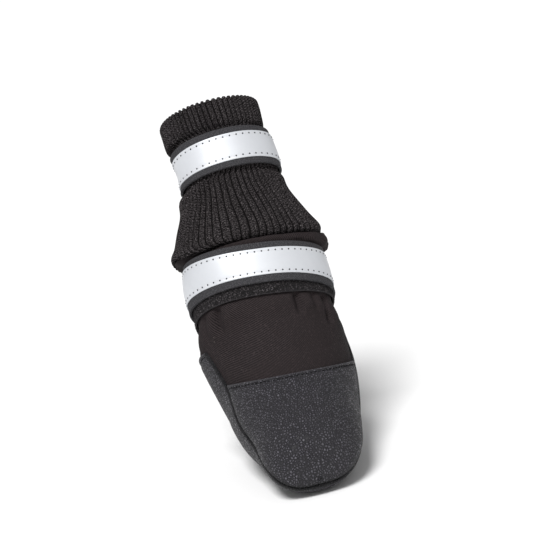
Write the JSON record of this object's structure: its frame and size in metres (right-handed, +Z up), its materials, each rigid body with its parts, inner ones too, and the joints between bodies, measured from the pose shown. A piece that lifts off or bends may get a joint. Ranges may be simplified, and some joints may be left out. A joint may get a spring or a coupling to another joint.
{
  "type": "dog boot",
  "caption": "Soft dog boot with a grip cloth sole and toe cap, softshell upper, rib knit shaft and reflective hook and loop straps.",
  "frame": {"origin": "on the flat underside of the sole, under the middle of the paw", "axes": "+Z up, the toe points to -Y and the shaft leans back to +Y, +X across the boot"},
  "size_m": [0.0715, 0.1329, 0.1666],
  "materials": {
    "grip_cloth": "fine pebble grain, matte",
    "softshell": "fine twill, matte",
    "rib_knit": "one by one rib knit",
    "webbing": "heathered webbing",
    "reflective_tape": "silver reflective tape, stitched",
    "loop_pile": "fuzzy loop pile"
  },
  "bodies": {
    "root": {"sole": "grip_cloth", "upper": "softshell", "toe_cap": "grip_cloth", "rib_cuff": "rib_knit", "ankle_loop_band": "loop_pile", "ankle_strap": "webbing", "ankle_tape": "reflective_tape", "ankle_strap_tail": "webbing", "cuff_strap": "webbing", "cuff_tape": "reflective_tape", "cuff_strap_tail": "webbing"}
  },
  "joints": []
}
